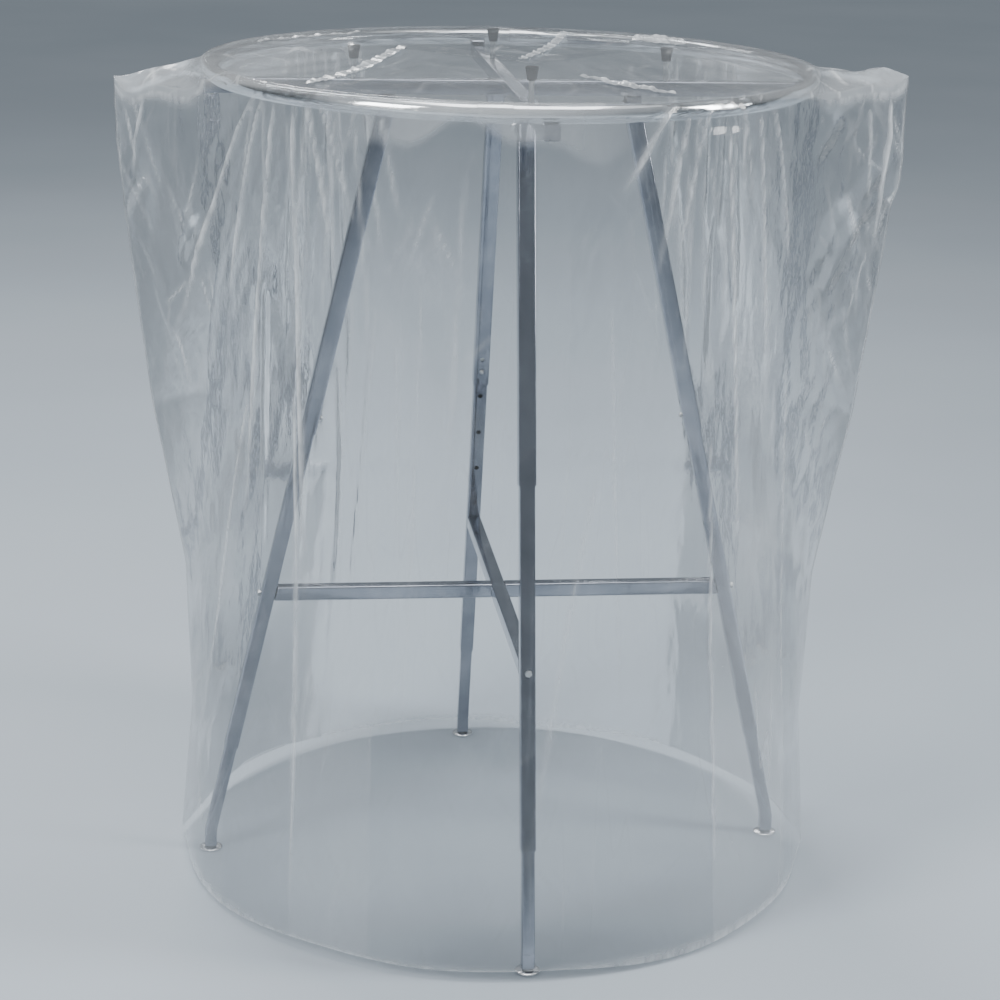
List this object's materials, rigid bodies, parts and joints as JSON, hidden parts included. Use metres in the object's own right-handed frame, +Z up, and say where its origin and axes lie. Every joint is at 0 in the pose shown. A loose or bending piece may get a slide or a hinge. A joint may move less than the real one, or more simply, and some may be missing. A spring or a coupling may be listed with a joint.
{
  "type": "round garment rack with clear cover bag",
  "caption": "Free-standing round steel garment rack with height-adjusting splayed legs, under a clear film cover bag that lifts off.",
  "frame": {"origin": "on the floor under the middle of the ring", "axes": "+Z up, -Y along the front leg, +X along the right leg"},
  "size_m": [1.1766, 0.9776, 1.294],
  "materials": {
    "ring_chrome": "bright chrome plate",
    "tube_chrome": "bright chrome plate",
    "glide_chrome": "chrome plate, scuffed",
    "zinc_steel": "zinc plated steel",
    "bumper_rubber": "matt black rubber",
    "clear_film": "clear, slightly hazy polyethylene film"
  },
  "bodies": {
    "crossbars": {"crossbar_long": "tube_chrome", "crossbar_right": "tube_chrome", "crossbar_left": "tube_chrome", "crossbar_hub_stud": "zinc_steel"},
    "top_frame": {"half_ring_right": "ring_chrome", "half_ring_left": "ring_chrome", "ring_splice_front": "ring_chrome", "ring_splice_rear": "ring_chrome", "top_bar_long": "tube_chrome", "top_bar_right": "tube_chrome", "top_bar_left": "tube_chrome", "top_hub_stud": "zinc_steel", "ring_screw_front": "zinc_steel", "topper_post_front": "zinc_steel", "topper_bumper_front": "bumper_rubber", "leg_bracket_front": "tube_chrome", "pivot_bolt_front": "zinc_steel", "ring_screw_right": "zinc_steel", "topper_post_right": "zinc_steel", "topper_bumper_right": "bumper_rubber", "leg_bracket_right": "tube_chrome", "pivot_bolt_right": "zinc_steel", "ring_screw_rear": "zinc_steel", "topper_post_rear": "zinc_steel", "topper_bumper_rear": "bumper_rubber", "leg_bracket_rear": "tube_chrome", "pivot_bolt_rear": "zinc_steel", "ring_screw_left": "zinc_steel", "topper_post_left": "zinc_steel", "topper_bumper_left": "bumper_rubber", "leg_bracket_left": "tube_chrome", "pivot_bolt_left": "zinc_steel"},
    "cover": {"cover": "clear_film"},
    "upper_leg_front": {"upper_leg_front": "tube_chrome"},
    "base_leg_front": {"base_leg_front": "tube_chrome", "foot_tube_front": "tube_chrome", "crossbar_bolt_front": "zinc_steel"},
    "snap_button_front": {"snap_button_front": "zinc_steel"},
    "glide_front": {"glide_front": "glide_chrome"},
    "upper_leg_right": {"upper_leg_right": "tube_chrome"},
    "base_leg_right": {"base_leg_right": "tube_chrome", "foot_tube_right": "tube_chrome", "crossbar_bolt_right": "zinc_steel"},
    "snap_button_right": {"snap_button_right": "zinc_steel"},
    "glide_right": {"glide_right": "glide_chrome"},
    "upper_leg_rear": {"upper_leg_rear": "tube_chrome"},
    "base_leg_rear": {"base_leg_rear": "tube_chrome", "foot_tube_rear": "tube_chrome", "crossbar_bolt_rear": "zinc_steel"},
    "snap_button_rear": {"snap_button_rear": "zinc_steel"},
    "glide_rear": {"glide_rear": "glide_chrome"},
    "upper_leg_left": {"upper_leg_left": "tube_chrome"},
    "base_leg_left": {"base_leg_left": "tube_chrome", "foot_tube_left": "tube_chrome", "crossbar_bolt_left": "zinc_steel"},
    "snap_button_left": {"snap_button_left": "zinc_steel"},
    "glide_left": {"glide_left": "glide_chrome"}
  },
  "joints": [
    {"name": "height_adjust", "type": "slide", "parent": "crossbars", "child": "top_frame", "axis": [0, 0, 1], "range_m": [0, 0.2], "deforming": ["snap_button_front", "snap_button_right", "snap_button_rear", "snap_button_left"]},
    {"name": "cover_lift", "type": "slide", "parent": "top_frame", "child": "cover", "axis": [0, 0, 1], "range_m": [0, 1.35]},
    {"name": "leg_swing_front", "type": "hinge", "parent": "top_frame", "child": "upper_leg_front", "pos_m": [0, -0.18516, 1.195], "axis": [1, 0, 0], "range_deg": [0, 2.7]},
    {"name": "leg_extend_front", "type": "slide", "parent": "upper_leg_front", "child": "base_leg_front", "axis": [0, -0.2265, -0.974], "range_m": [0, 0.195]},
    {"name": "button_press_front", "type": "slide", "parent": "base_leg_front", "child": "snap_button_front", "axis": [0, -0.974, 0.2265], "range_m": [0, 0.0045], "stiffness_N_per_m": 800},
    {"name": "glide_screw_front", "type": "slide", "parent": "base_leg_front", "child": "glide_front", "axis": [0, 0, -1], "range_m": [0, 0.012]},
    {"name": "leg_swing_right", "type": "hinge", "parent": "top_frame", "child": "upper_leg_right", "pos_m": [0.18516, 0, 1.195], "axis": [0, 1, 0], "range_deg": [0, 2.7]},
    {"name": "leg_extend_right", "type": "slide", "parent": "upper_leg_right", "child": "base_leg_right", "axis": [0.2265, 0, -0.974], "range_m": [0, 0.195]},
    {"name": "button_press_right", "type": "slide", "parent": "base_leg_right", "child": "snap_button_right", "axis": [0.974, 0, 0.2265], "range_m": [0, 0.0045], "stiffness_N_per_m": 800},
    {"name": "glide_screw_right", "type": "slide", "parent": "base_leg_right", "child": "glide_right", "axis": [0, 0, -1], "range_m": [0, 0.012]},
    {"name": "leg_swing_rear", "type": "hinge", "parent": "top_frame", "child": "upper_leg_rear", "pos_m": [0, 0.18516, 1.195], "axis": [-1, 0, 0], "range_deg": [0, 2.7]},
    {"name": "leg_extend_rear", "type": "slide", "parent": "upper_leg_rear", "child": "base_leg_rear", "axis": [0, 0.2265, -0.974], "range_m": [0, 0.195]},
    {"name": "button_press_rear", "type": "slide", "parent": "base_leg_rear", "child": "snap_button_rear", "axis": [0, 0.974, 0.2265], "range_m": [0, 0.0045], "stiffness_N_per_m": 800},
    {"name": "glide_screw_rear", "type": "slide", "parent": "base_leg_rear", "child": "glide_rear", "axis": [0, 0, -1], "range_m": [0, 0.012]},
    {"name": "leg_swing_left", "type": "hinge", "parent": "top_frame", "child": "upper_leg_left", "pos_m": [-0.18516, 0, 1.195], "axis": [0, -1, 0], "range_deg": [0, 2.7]},
    {"name": "leg_extend_left", "type": "slide", "parent": "upper_leg_left", "child": "base_leg_left", "axis": [-0.2265, 0, -0.974], "range_m": [0, 0.195]},
    {"name": "button_press_left", "type": "slide", "parent": "base_leg_left", "child": "snap_button_left", "axis": [-0.974, 0, 0.2265], "range_m": [0, 0.0045], "stiffness_N_per_m": 800},
    {"name": "glide_screw_left", "type": "slide", "parent": "base_leg_left", "child": "glide_left", "axis": [0, 0, -1], "range_m": [0, 0.012]}
  ],
  "couplings": [
    {"joint": "leg_swing_front", "follows": "height_adjust", "rad_per_m": 0.2305},
    {"joint": "leg_extend_front", "follows": "height_adjust", "ratio": 0.9685},
    {"joint": "leg_swing_right", "follows": "height_adjust", "rad_per_m": 0.2305},
    {"joint": "leg_extend_right", "follows": "height_adjust", "ratio": 0.9685},
    {"joint": "leg_swing_rear", "follows": "height_adjust", "rad_per_m": 0.2305},
    {"joint": "leg_extend_rear", "follows": "height_adjust", "ratio": 0.9685},
    {"joint": "leg_swing_left", "follows": "height_adjust", "rad_per_m": 0.2305},
    {"joint": "leg_extend_left", "follows": "height_adjust", "ratio": 0.9685}
  ]
}
